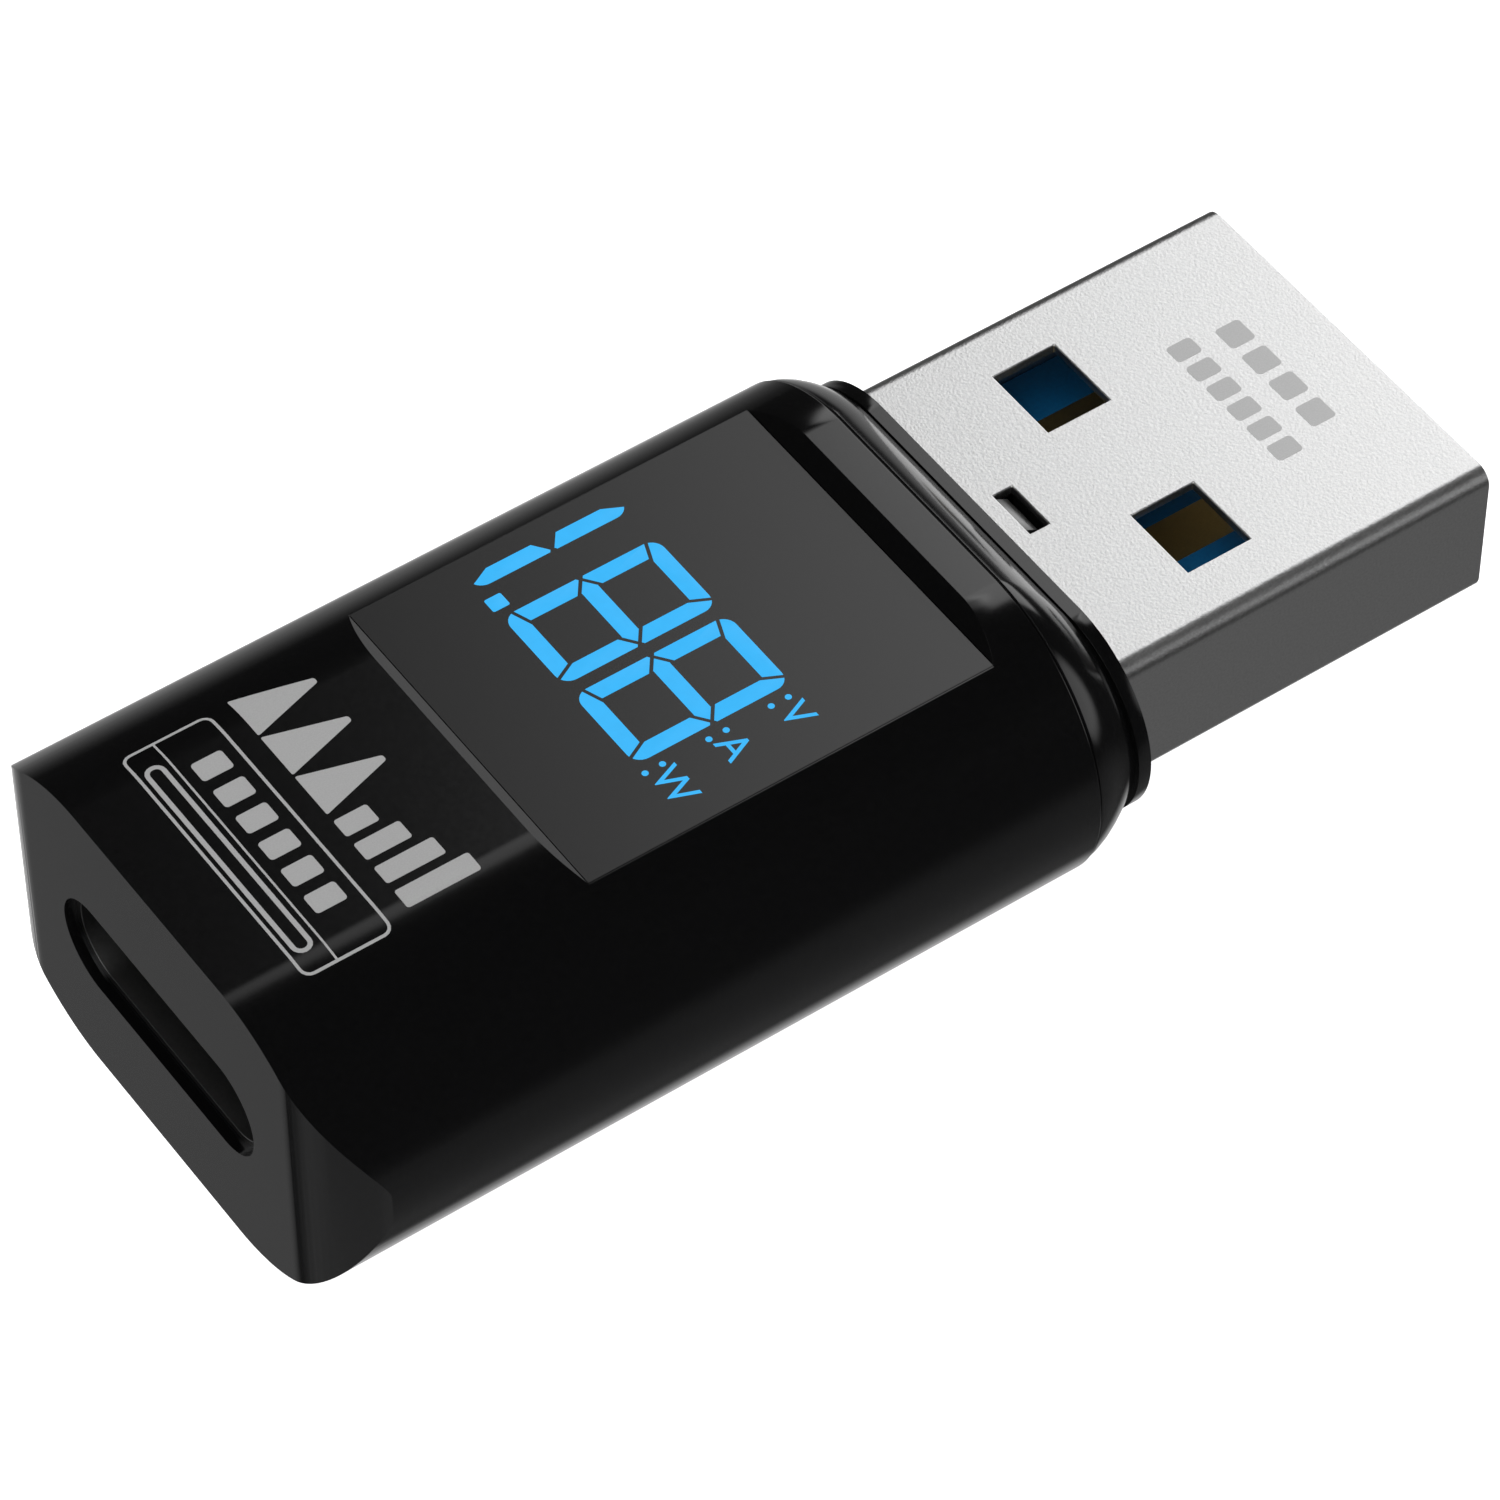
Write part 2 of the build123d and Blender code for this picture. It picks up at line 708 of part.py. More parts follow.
# ---------------------------------------------------------------- main board
def main_board():
    half = board_width / 2
    board = block(x_board_back, x_board_front, -half, half, -z_board, z_board)
    notch = shell_outer_width / 2 + fit_gap
    board -= block(x_board_back - 1, x_socket_back + 0.3, -notch, notch, -1, 1)
    for side in (1, -1):
        y0, y1 = sorted((side * (plug_width / 2 - plug_sheet - fit_gap), side * (plug_width / 2 + fit_gap)))
        board -= block(x_plug_back - tang_length - 0.1, x_board_front + 1, y0, y1, -1, 1)
    for x, y in pin_places():
        board -= Pos(x, y, 0) * Cylinder(pin_size * 0.75, 2)
    return board


# ---------------------------------------------------------------- electronic parts on the main board
x_parts = (pin_rows_x[0] + pin_rows_x[1]) / 2 + 0.2


def chip(x, y, length, width, height, up):
    """A moulded chip body on the upper (up = 1) or lower (up = -1) face of the board."""
    z0, z1 = sorted((up * (z_board + 0.02), up * (z_board + height)))
    body = block(x - length / 2, x + length / 2, y - width / 2, y + width / 2, z0, z1)
    lid = body.faces().sort_by(Axis.Z)[-1 if up > 0 else 0]
    return chamfer(lid.edges(), 0.04)


def chip_pads(x, y, length, width, count, up):
    """Solder pads that show at the long edges of a leadless chip."""
    pitch = (length - 0.5) / (count - 1)
    z0, z1 = sorted((up * z_board, up * (z_board + 0.12)))
    pads = []
    for side in (1, -1):
        y0, y1 = sorted((side * width / 2, side * (width / 2 + 0.15)))
        for i in range(count):
            x0 = x - (length - 0.5) / 2 + i * pitch
            pads.append(block(x0 - 0.1, x0 + 0.1, y + y0, y + y1, z0, z1))
    return pads


def two_terminal(x, y, length, width, height, up):
    """A chip resistor or capacitor: (body, [end cap, end cap])."""
    z0, z1 = sorted((up * z_board, up * (z_board + height)))
    end = length * 0.22
    body = block(x - length / 2 + end, x + length / 2 - end, y - width / 2, y + width / 2, z0, z1)
    ends = [
        block(x - length / 2, x - length / 2 + end, y - width / 2, y + width / 2, z0, z1),
        block(x + length / 2 - end, x + length / 2, y - width / 2, y + width / 2, z0, z1),
    ]
    return body, ends


capacitor_places = [
    (x_parts - 2.1, 5.2, 1), (x_parts - 0.4, 5.2, 1), (x_parts + 1.3, 5.2, 1),
    (x_parts - 2.1, -5.2, 1), (x_parts - 0.4, -5.2, 1), (x_parts + 1.3, -5.2, 1),
    (x_parts - 1.0, 5.2, -1), (x_parts + 0.8, 5.2, -1),
]
resistor_places = [
    (x_parts - 2.1, 4.2, 1), (x_parts - 0.4, 4.2, 1), (x_parts + 1.3, 4.2, 1),
    (x_parts - 2.1, -4.2, 1), (x_parts - 0.4, -4.2, 1), (x_parts + 1.3, -4.2, 1),
]
capacitors = [two_terminal(x, y, 1.0, 0.5, 0.5, up) for x, y, up in capacitor_places]
resistors = [two_terminal(x, y, 1.0, 0.5, 0.35, up) for x, y, up in resistor_places]
shunt_body, shunt_ends = two_terminal(x_parts - 0.2, -4.6, 3.2, 1.6, 0.6, -1)
bulk_body, bulk_ends = two_terminal(x_parts - 0.2, 3.6, 3.2, 1.6, 1.2, -1)
regulator_x, regulator_y = x_parts - 0.2, 1.6


def regulator_leads():
    z0, z1 = -z_board - 0.15, -z_board
    leads = []
    for side, offsets in ((1, (0,)), (-1, (-0.5, 0.5))):
        y0, y1 = sorted((regulator_y + side * 0.65, regulator_y + side * 1.0))
        leads += [block(regulator_x + o - 0.15, regulator_x + o + 0.15, y0, y1, z0, z1) for o in offsets]
    return leads


# ---------------------------------------------------------------- write every node
write("housing_sleeve", housing_sleeve())
write("end_cap", end_cap())
write("display_window", display_window())
write("window_tape", window_tape())
write("display_mask", display_mask())
write("segment_light_guides", *[light_guide(face) for face in digit_faces])
write("unit_light_guides", *[light_guide(face) for face in unit_faces])
write("led_chips", *led_chips())
write("display_board", display_board())
write("display_pins", *display_pins())
write("main_board", main_board())
write("plug_shell", plug_shell())
write("plug_insulator", plug_insulator())
write("plug_power_and_data_pads", *plug_pads())
write("plug_spring_tails", *[spring_tail(y) for y in spring_y])
for number, y in enumerate(spring_y, start=1):
    write(f"spring_contact_{number}", spring_beam(y))
write("socket_shell", socket_shell())
write("socket_insulator", socket_insulator())
write("socket_upper_contacts", *socket_pads(1))
write("socket_lower_contacts", *socket_pads(-1))
write("socket_mid_plate", mid_plate())
write("socket_ground_plates", *ground_plates())
write("redriver_chip", chip(x_parts - 0.2, 0, 4.0, 3.4, 0.8, 1))
write("redriver_pads", *chip_pads(x_parts - 0.2, 0, 4.0, 3.4, 8, 1))
write("meter_chip", chip(x_parts - 0.2, -1.6, 3.6, 3.0, 0.8, -1))
write("meter_pads", *chip_pads(x_parts - 0.2, -1.6, 3.6, 3.0, 6, -1))
write("voltage_regulator", chip(regulator_x, regulator_y, 1.8, 1.3, 0.9, -1))
write("regulator_leads", *regulator_leads())
write("current_shunt", shunt_body)
write("shunt_terminals", *shunt_ends)
write("bulk_capacitor", bulk_body)
write("bulk_capacitor_terminals", *bulk_ends)
write("ceramic_capacitors", *[body for body, _ in capacitors])
write("capacitor_terminals", *[end for _, ends in capacitors for end in ends])
write("chip_resistors", *[body for body, _ in resistors])
write("resistor_terminals", *[end for _, ends in resistors for end in ends])
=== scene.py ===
# %% [markdown]
# # A USB power meter
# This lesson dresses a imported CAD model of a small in-line power meter. The CAD file settles every size.
# Blender adds what a shaded view needs: soft edges, glossy and satin finishes, a lit display and a light
# tent. The frame comes first, because every piece takes its place from it, and each new piece rides on a
# CAD body.

# %% Load the frame
import math

import bmesh
import bpy
from mathutils import Matrix, Vector


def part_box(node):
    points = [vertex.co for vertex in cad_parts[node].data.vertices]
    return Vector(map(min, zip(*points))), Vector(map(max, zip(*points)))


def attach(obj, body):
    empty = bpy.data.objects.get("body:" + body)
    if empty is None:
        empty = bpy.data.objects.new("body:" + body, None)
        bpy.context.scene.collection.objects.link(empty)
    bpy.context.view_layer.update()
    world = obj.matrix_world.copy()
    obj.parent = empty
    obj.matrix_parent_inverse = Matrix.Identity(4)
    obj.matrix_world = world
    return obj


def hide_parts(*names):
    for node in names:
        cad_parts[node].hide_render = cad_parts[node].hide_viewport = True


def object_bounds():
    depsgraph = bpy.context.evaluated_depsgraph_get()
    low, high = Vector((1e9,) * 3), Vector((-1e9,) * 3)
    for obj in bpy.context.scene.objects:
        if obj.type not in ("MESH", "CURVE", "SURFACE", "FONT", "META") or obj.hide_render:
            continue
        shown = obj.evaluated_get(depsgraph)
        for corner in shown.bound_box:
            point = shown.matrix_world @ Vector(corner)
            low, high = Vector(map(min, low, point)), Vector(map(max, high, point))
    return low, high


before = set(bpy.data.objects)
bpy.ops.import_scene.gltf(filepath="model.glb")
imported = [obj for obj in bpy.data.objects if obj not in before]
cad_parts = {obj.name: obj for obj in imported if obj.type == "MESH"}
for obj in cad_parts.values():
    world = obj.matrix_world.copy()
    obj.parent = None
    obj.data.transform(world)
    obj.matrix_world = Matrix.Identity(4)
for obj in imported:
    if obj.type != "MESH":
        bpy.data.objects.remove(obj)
cad_low, cad_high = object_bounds()
MM = 0.001
x_tip = cad_high.x / MM
x_face = cad_low.x / MM
axis_z = (cad_low.z + cad_high.z) / 2 / MM
print("CAD box, mm:", [round(v / MM, 2) for v in (*cad_low, *cad_high)])


def edges_of(node):
    """A CAD node's lowest and highest corner, in millimetres."""
    low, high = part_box(node)
    return low / MM, high / MM


# %% [markdown]
# ## Camera
# The object is small, so a photographer stands back with a long lens: lines stay nearly parallel. The
# camera looks down over the socket end, so that the display, the socket and the plug are all in view. Its
# three axes are written out as a matrix, because the aim is exact and a small roll is part of it.

# %% Camera
right = Vector((0.81828563, -0.57480928, -0.00170809))
down = Vector((-0.43764657, -0.62109187, -0.6501618))
forward = Vector((0.37265815, 0.5327656, -0.75979387))
stand = Vector((x_tip - 88.8, -99.51, axis_z + 140.39)) * MM
turn = Matrix((right, -down, -forward)).transposed().to_4x4()
lens = bpy.data.cameras.new("camera")
lens.sensor_width = 36
lens.lens = 174.56
lens.clip_start = 0.01
camera = bpy.data.objects.new("camera", lens)
camera.matrix_world = Matrix.Translation(stand) @ turn
bpy.context.scene.collection.objects.link(camera)
bpy.context.scene.camera = camera
print("camera stands", round(stand.length / MM), "mm from the origin")

# %% [markdown]
# ## Light
# Black gloss shows its surroundings more than its own colour, so the surroundings are what is designed
# here. The world is a light tent: bright behind and above the object, and dark on the side where the camera
# stands. A few lobes do it: a softbox over the plug's end, a thin strip, a lamp overhead, and faint cards
# all round. The dot product of a direction with the lobe's own axis is large inside the lobe, and a ramp
# turns that into brightness. A lobe that is cut off by two others has sharp sides, as a real softbox has.

# %% World
bpy.context.scene.view_settings.view_transform = "Standard"
world = bpy.data.worlds.new("light_tent")
bpy.context.scene.world = world
world.use_nodes = True
sky = world.node_tree
sky.nodes.clear()
sky_out = sky.nodes.new("ShaderNodeOutputWorld")
sky_light = sky.nodes.new("ShaderNodeBackground")
sky.links.new(sky_light.outputs["Background"], sky_out.inputs["Surface"])
direction = sky.nodes.new("ShaderNodeTexCoord")


def lobe(axis, start, end, strength):
    """Brightness that grows from a wide cone round an axis (start) to its middle (end)."""
    dot = sky.nodes.new("ShaderNodeVectorMath")
    dot.operation = "DOT_PRODUCT"
    dot.inputs[1].default_value = Vector(axis).normalized()
    sky.links.new(direction.outputs["Generated"], dot.inputs[0])
    ramp = sky.nodes.new("ShaderNodeMapRange")
    ramp.interpolation_type = "SMOOTHSTEP"
    ramp.inputs["From Min"].default_value = start
    ramp.inputs["From Max"].default_value = end
    ramp.inputs["To Max"].default_value = strength
    sky.links.new(dot.outputs["Value"], ramp.inputs["Value"])
    return ramp.outputs["Result"]


def combine(operation, a, b):
    node = sky.nodes.new("ShaderNodeMath")
    node.operation = operation
    sky.links.new(a, node.inputs[0])
    if isinstance(b, float):
        node.inputs[1].default_value = b
    else:
        sky.links.new(b, node.inputs[1])
    return node.outputs["Value"]


def add(a, b):
    return combine("ADD", a, b)


def times(a, b):
    return combine("MULTIPLY", a, b)


softbox = times(lobe((0.75, 0.35, 0.56), 0.878, 0.912, 2.05),
                times(lobe((0, 1, 0), 0.24, 0.29, 1), lobe((0, -1, 0), -0.78, -0.72, 1)))
top_strip = lobe((0.373, 0.421, 0.827), 0.992, 0.998, 0.9)
overhead = lobe((-0.32, -0.12, 0.94), 0.87, 0.95, 1.7)
room = add(lobe((-0.40, -0.65, 0.65), 0.80, 0.95, 0.6), lobe((-0.35, 0.93, 0.10), 0.86, 0.97, 0.6))
room = add(room, lobe((0.80, -0.55, 0.25), 0.90, 0.97, 1.2))
horizon = lobe((0.72, 0.55, -0.42), 0.88, 0.97, 0.42)
under_glow = lobe((0.37, 0.40, -0.84), 0.88, 0.98, 0.6)
backdrop = times(lobe((0.35, 0.74, -0.57), 0.76, 0.98, 0.30), lobe((-1, 0, 0), -0.42, -0.37, 1))
port_card = lobe((-0.25, 0.85, -0.45), 0.82, 0.88, 0.19)
side_card = add(lobe((0.45, -0.50, -0.74), 0.80, 0.95, 0.12), lobe((-0.50, -0.35, -0.80), 0.70, 0.90, 0.20))
brightness = softbox
for light in (top_strip, overhead, room, horizon, under_glow, backdrop, port_card, side_card, 0.025):
    brightness = add(brightness, light)
sky.links.new(brightness, sky_light.inputs["Strength"])
sky_light.inputs["Color"].default_value = (1, 1, 1, 1)
print("world nodes:", len(sky.nodes))

# %% [markdown]
# ## Floor
# The object lies on a white light table. The floor glows by itself, so it stays white right up to the
# object and hardly takes a shadow. Its ray visibility leaves it out of the reflections, so that the black
# sides stay deep, as they do on a glass table over a dark room.

# %% Floor
bpy.ops.object.select_all(action="DESELECT")
bpy.ops.mesh.primitive_plane_add(size=4, location=(0, 0, -0.00002))
floor = bpy.context.object
floor.name = "floor"
floor.visible_glossy = False
paper = bpy.data.materials.new("pale_floor")
paper.use_nodes = True
sheet = paper.node_tree.nodes["Principled BSDF"]
sheet.inputs["Base Color"].default_value = (0.85, 0.85, 0.85, 1)
sheet.inputs["Roughness"].default_value = 0.9
sheet.inputs["Emission Color"].default_value = (1, 1, 1, 1)
sheet.inputs["Emission Strength"].default_value = 1.05
floor.data.materials.append(paper)
print("floor at", round(floor.location.z / MM, 3), "mm")

# %% [markdown]
# ## How materials are built here
# Each finish is one Principled shader. What is the same all over is set on the shader's own sockets. What
# varies, such as mottled colour or a grain in the gloss, comes from noise that reads Object coordinates, so
# it is fixed to the piece and has a real size in millimetres.

# %% Helper for finishes
def finish(name, colour, roughness, metallic=0.0, specular=0.5, mottle=0.15, grain_mm=0.08,
           gloss_change=0.05, bump=0.02, stretch=(1, 1, 1), glow=0.0):
    """A Principled material whose colour, roughness and height vary with a noise of a real size."""
    material = bpy.data.materials.new(name)
    material.use_nodes = True
    tree = material.node_tree
    shader = tree.nodes["Principled BSDF"]
    place = tree.nodes.new("ShaderNodeTexCoord")
    mapping = tree.nodes.new("ShaderNodeMapping")
    mapping.inputs["Scale"].default_value = stretch
    tree.links.new(place.outputs["Object"], mapping.inputs["Vector"])
    noise = tree.nodes.new("ShaderNodeTexNoise")
    noise.inputs["Scale"].default_value = 1 / (grain_mm * MM)
    noise.inputs["Detail"].default_value = 4
    tree.links.new(mapping.outputs["Vector"], noise.inputs["Vector"])
    shade = tree.nodes.new("ShaderNodeValToRGB")
    low, high = shade.color_ramp.elements
    low.position, high.position = 0.3, 0.7
    low.color = [c * (1 - mottle) for c in colour] + [1]
    high.color = [min(c * (1 + mottle), 1) for c in colour] + [1]
    tree.links.new(noise.outputs["Fac"], shade.inputs["Fac"])
    if glow:
        tree.links.new(shade.outputs["Color"], shader.inputs["Emission Color"])
        shader.inputs["Emission Strength"].default_value = glow
        shader.inputs["Base Color"].default_value = (0.004, 0.01, 0.02, 1)
    else:
        tree.links.new(shade.outputs["Color"], shader.inputs["Base Color"])
    gloss = tree.nodes.new("ShaderNodeMapRange")
    gloss.inputs["To Min"].default_value = roughness - gloss_change
    gloss.inputs["To Max"].default_value = roughness + gloss_change
    tree.links.new(noise.outputs["Fac"], gloss.inputs["Value"])
    tree.links.new(gloss.outputs["Result"], shader.inputs["Roughness"])
    relief = tree.nodes.new("ShaderNodeBump")
    relief.inputs["Strength"].default_value = bump
    relief.inputs["Distance"].default_value = grain_mm * MM * 0.2
    tree.links.new(noise.outputs["Fac"], relief.inputs["Height"])
    tree.links.new(relief.outputs["Normal"], shader.inputs["Normal"])
    shader.inputs["Metallic"].default_value = metallic
    shader.inputs["Specular IOR Level"].default_value = specular
    return material


# %% [markdown]
# ## Finishes
# The housing is polished ABS: nearly black, with a gloss that is not quite a mirror. The plug is stamped
# steel with a fine sandy grain. The window is a smoked sheet with a satin face. Lit segments give light of
# their own. The stake's steel and the socket's steel are painted darker than bare steel: painted shade.

# %% Finishes
black_gloss = finish("black_gloss", (0.0035, 0.0035, 0.0037), 0.13, specular=0.5,
                     gloss_change=0.02, bump=0.008, grain_mm=0.15)
black_matte = finish("black_matte", (0.006, 0.006, 0.006), 0.45, specular=0.3)
window_satin = finish("window_satin", (0.012, 0.012, 0.012), 0.22, specular=0.5, grain_mm=0.05, bump=0.03)
lit_blue = finish("lit_blue", (0.047, 0.479, 0.956), 0.4, specular=0.1, mottle=0.02, grain_mm=0.3, glow=1.0)
steel = finish("satin_steel", (0.60, 0.60, 0.60), 0.32, metallic=1.0, mottle=0.08, grain_mm=0.075, bump=0.34)
# The stake is the shell's steel painted darker: painted shade on the stake down in its window.
stake_steel_painted_shade = finish("stake_steel_painted_shade", (0.20, 0.20, 0.20), 0.36, metallic=1.0,
                     mottle=0.05, grain_mm=0.06, bump=0.05)
# The socket's steel is painted darker than bare steel: painted shade inside the socket mouth.
socket_steel = finish("socket_steel", (0.24, 0.24, 0.24), 0.36, metallic=1.0,
                      mottle=0.05, grain_mm=0.06, bump=0.05)
grey_print = finish("grey_print", (0.62, 0.62, 0.62), 0.5, specular=0.2, mottle=0.05, grain_mm=0.04)
laser_grey = finish("laser_grey", (0.44, 0.44, 0.44), 0.4, metallic=1.0, mottle=0.06, grain_mm=0.04)
blue_plastic = finish("blue_plastic", (0.004, 0.12, 0.30), 0.35, specular=0.4, mottle=0.1, grain_mm=0.1)
gold = finish("gold_plate", (0.50, 0.38, 0.16), 0.3, metallic=1.0, mottle=0.06, grain_mm=0.05, bump=0.04)
laminate = finish("green_laminate", (0.01, 0.05, 0.02), 0.4, mottle=0.25, grain_mm=0.12, bump=0.1)
chip_black = finish("chip_black", (0.012, 0.012, 0.013), 0.5, mottle=0.3, grain_mm=0.03, bump=0.1)
ceramic = finish("tan_ceramic", (0.35, 0.22, 0.12), 0.4, mottle=0.15, grain_mm=0.04)
tin = finish("tinned_metal", (0.62, 0.62, 0.60), 0.32, metallic=1.0, mottle=0.08, grain_mm=0.06, bump=0.1)
mask_black = finish("mask_black", (0.01, 0.01, 0.01), 0.6, specular=0.3, mottle=0.2)
chip_yellow = finish("chip_yellow", (0.6, 0.6, 0.4), 0.35, mottle=0.1, grain_mm=0.05)
tape_black = finish("tape_black", (0.012, 0.012, 0.012), 0.7, specular=0.3, mottle=0.2)
print("finishes:", len(bpy.data.materials))

# %% [markdown]
# ## Pieces that keep their CAD shape
# What sits inside the housing, and the small contacts, already have their true shape. They only need a
# finish.

# %% Finishes for the CAD nodes
inside = {
    tape_black: ["window_tape"],
    mask_black: ["display_mask"],
    chip_yellow: ["led_chips"],
    laminate: ["display_board", "main_board"],
    blue_plastic: ["plug_insulator"],
    black_matte: ["socket_insulator"],
    gold: ["plug_power_and_data_pads", "plug_spring_tails", "display_pins",
           "socket_upper_contacts", "socket_lower_contacts"] + [f"spring_contact_{i}" for i in range(1, 6)],
    # The socket's plates take the darkened steel too: painted shade inside the mouth.
    socket_steel: ["socket_mid_plate", "socket_ground_plates"],
    chip_black: ["redriver_chip", "meter_chip", "voltage_regulator", "current_shunt", "chip_resistors"],
    ceramic: ["bulk_capacitor", "ceramic_capacitors"],
    tin: ["redriver_pads", "meter_pads", "regulator_leads", "shunt_terminals",
          "bulk_capacitor_terminals", "capacitor_terminals", "resistor_terminals"],
}
for material, names in inside.items():
    for name in names:
        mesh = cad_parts[name].data
        mesh.materials.clear()
        mesh.materials.append(material)
print("CAD nodes with a finish:", sum(len(names) for names in inside.values()))

# %% [markdown]
# ## Hand tools
# The same few moves build every piece: start clean with nothing selected, add a primitive, pick edges or
# faces by their place, carve with another body, and soften the edges that are left.

# %% Selecting
def rest():
    """Leaves edit mode and deselects everything."""
    if bpy.context.object and bpy.context.object.mode != "OBJECT":
        bpy.ops.object.mode_set(mode="OBJECT")
    bpy.ops.object.select_all(action="DESELECT")


def pick(piece):
    rest()
    piece.select_set(True)
    bpy.context.view_layer.objects.active = piece


def choose(piece, kind, test):
    """In edit mode, selects the verts, edges or faces for which test is true."""
    bpy.ops.mesh.select_mode(type=kind)
    bpy.ops.mesh.select_all(action="DESELECT")
    mesh = bmesh.from_edit_mesh(piece.data)
    items = {"VERT": mesh.verts, "EDGE": mesh.edges, "FACE": mesh.faces}[kind]
    for item in items:
        if test(item):
            item.select_set(True)
    mesh.select_flush_mode()
    bmesh.update_edit_mesh(piece.data)


# %% Shaping
def block(name, low, high):
    """A box between two corners given in millimetres."""
    rest()
    middle = [(a + b) / 2 * MM for a, b in zip(low, high)]
    size = [(b - a) * MM for a, b in zip(low, high)]
    bpy.ops.mesh.primitive_cube_add(size=1, location=middle, scale=size)
    piece = bpy.context.object
    piece.name = name
    bpy.ops.object.transform_apply(location=True, rotation=True, scale=True)
    return piece


def round_along(piece, axis, radius, segments=6, test=None):
    """Rounds the edges of a box that run along one axis."""
    pick(piece)
    bpy.ops.object.mode_set(mode="EDIT")

    def runs_along(edge):
        span = edge.verts[1].co - edge.verts[0].co
        return abs(span[axis]) > 0.99 * span.length and (test is None or test(edge))

    choose(piece, "EDGE", runs_along)
    bpy.ops.mesh.bevel(offset=radius * MM, segments=segments, affect="EDGES")
    bpy.ops.object.mode_set(mode="OBJECT")
    return piece


def face_out(piece):
    """In edit mode, turns all faces outwards. A closed body whose volume comes out negative is inside out."""
    bpy.ops.mesh.select_all(action="SELECT")
    bpy.ops.mesh.normals_make_consistent(inside=False)
    if bmesh.from_edit_mesh(piece.data).calc_volume(signed=True) < 0:
        bpy.ops.mesh.flip_normals()


def carve(piece, tool, operation="DIFFERENCE"):
    """Cuts the tool out of the piece (or keeps only what they share) and removes the tool."""
    pick(piece)
    cut = piece.modifiers.new("carve", "BOOLEAN")
    cut.operation = operation
    cut.solver = "MANIFOLD"
    cut.object = tool
    bpy.ops.object.modifier_apply(modifier=cut.name)
    bpy.data.objects.remove(tool)
    return piece


def join(parts, name):
    """Joins pieces into one and gives it a name."""
    rest()
    for part in parts:
        part.select_set(True)
    bpy.context.view_layer.objects.active = parts[0]
    bpy.ops.object.join()
    parts[0].name = name
    return parts[0]


def soften(piece, width, segments=3, angle=32):
    """Bevels what is still sharp, then lets the large faces decide the shading."""
    pick(piece)
    bpy.ops.object.mode_set(mode="EDIT")
    bpy.ops.mesh.select_all(action="SELECT")
    bpy.ops.mesh.remove_doubles(threshold=0.0000005)
    face_out(piece)
    bpy.ops.object.mode_set(mode="OBJECT")
    if width:
        edge = piece.modifiers.new("edge", "BEVEL")
        edge.width = width * MM
        edge.segments = segments
        edge.limit_method = "ANGLE"
        edge.angle_limit = math.radians(angle)
        edge.use_clamp_overlap = True
        bpy.ops.object.modifier_apply(modifier=edge.name)
    bpy.ops.object.shade_smooth_by_angle(angle=math.radians(32))
    weight = piece.modifiers.new("weight", "WEIGHTED_NORMAL")
    weight.keep_sharp = True
    bpy.ops.object.modifier_apply(modifier=weight.name)
    return piece


def settle(piece, material, body, slot, *nodes):
    """Gives a finished piece its finish, the body it rides on and the CAD nodes it stands for."""
    piece.data.materials.clear()
    piece.data.materials.append(material)
    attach(piece, body)
    if nodes:
        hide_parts(*nodes)
    print(piece.name, len(piece.data.polygons), "faces")


# %% [markdown]
# ## Running-track outlines
# The housing's section is a running track: two flats joined by two half circles. A circle whose two halves
# are moved apart gives that outline. The ring is extruded, and each new ring grows or shrinks about the
# middles of its two halves, so the section can change on the way. That is how the shoulder narrows down to
# the collar.

# %% Track bodies
RING = 122


def track_body(name, rings):
    """A closed body through rings of (x, width, height) in millimetres."""
    rest()
    x, width, height = rings[0]
    bpy.ops.mesh.primitive_circle_add(
        vertices=RING, radius=height / 2 * MM, location=(x * MM, 0, axis_z * MM), rotation=(0, math.pi / 2, 0)
    )
    piece = bpy.context.object
    piece.name = name
    bpy.ops.object.transform_apply(location=True, rotation=True, scale=True)
    bpy.ops.object.mode_set(mode="EDIT")
    bpy.ops.mesh.select_mode(type="VERT")
    bpy.ops.mesh.select_all(action="SELECT")
    apart, radius = 0, height / 2
    for count, (x, width, height) in enumerate(rings):
        if count:
            bpy.ops.mesh.extrude_region_move()
        mesh = bmesh.from_edit_mesh(piece.data)
        for vert in mesh.verts:
            if vert.select:
                side = math.copysign(1, vert.co.y)
                grow = height / 2 / radius
                vert.co.x = x * MM
                vert.co.y = side * (width - height) / 2 * MM + (vert.co.y - side * apart * MM) * grow
                vert.co.z = axis_z * MM + (vert.co.z - axis_z * MM) * grow
        bmesh.update_edit_mesh(piece.data)
        apart, radius = (width - height) / 2, height / 2
    bpy.ops.mesh.edge_face_add()
    choose(piece, "EDGE", lambda e: e.is_boundary)
    bpy.ops.mesh.edge_face_add()
    face_out(piece)
    bpy.ops.object.mode_set(mode="OBJECT")
    return piece


def track_bar(name, width, height, x0, x1):
    return track_body(name, [(x0, width, height), (x1, width, height)])


# %% [markdown]
# ## Housing sleeve
# The real sleeve is moulded as one tube, closed at the socket end. Its upright corners there are rounded as
# seen from above, which leaves a curved edge where that rounding meets the round sides. A Boolean with a
# plan shape gives exactly that edge. A shallow pocket with sloped ends is then cut for the window.

# %% Housing sleeve: outer shape
sleeve_low, sleeve_high = edges_of("housing_sleeve")
window_low, window_high = edges_of("display_window")
width = sleeve_high.y - sleeve_low.y
height = sleeve_high.z - sleeve_low.z
x_joint = sleeve_high.x
sleeve = track_bar("sleeve", width, height, x_face, x_joint)
pick(sleeve)
bpy.ops.object.mode_set(mode="EDIT")
choose(sleeve, "EDGE", lambda e: all(abs(v.co.x - x_joint * MM) < 1e-6 for v in e.verts))
bpy.ops.mesh.bevel(offset=0.07 * MM, segments=4, affect="EDGES")
bpy.ops.object.mode_set(mode="OBJECT")
corner = 2.25
plan = block("plan", (x_face, -5.85 - corner, -2), (x_tip, 5.85 + corner, 12))
round_along(plan, 2, corner, 40, lambda e: e.verts[0].co.x < 0)
carve(sleeve, plan, "INTERSECT")
print("sleeve outer faces:", len(sleeve.data.polygons))

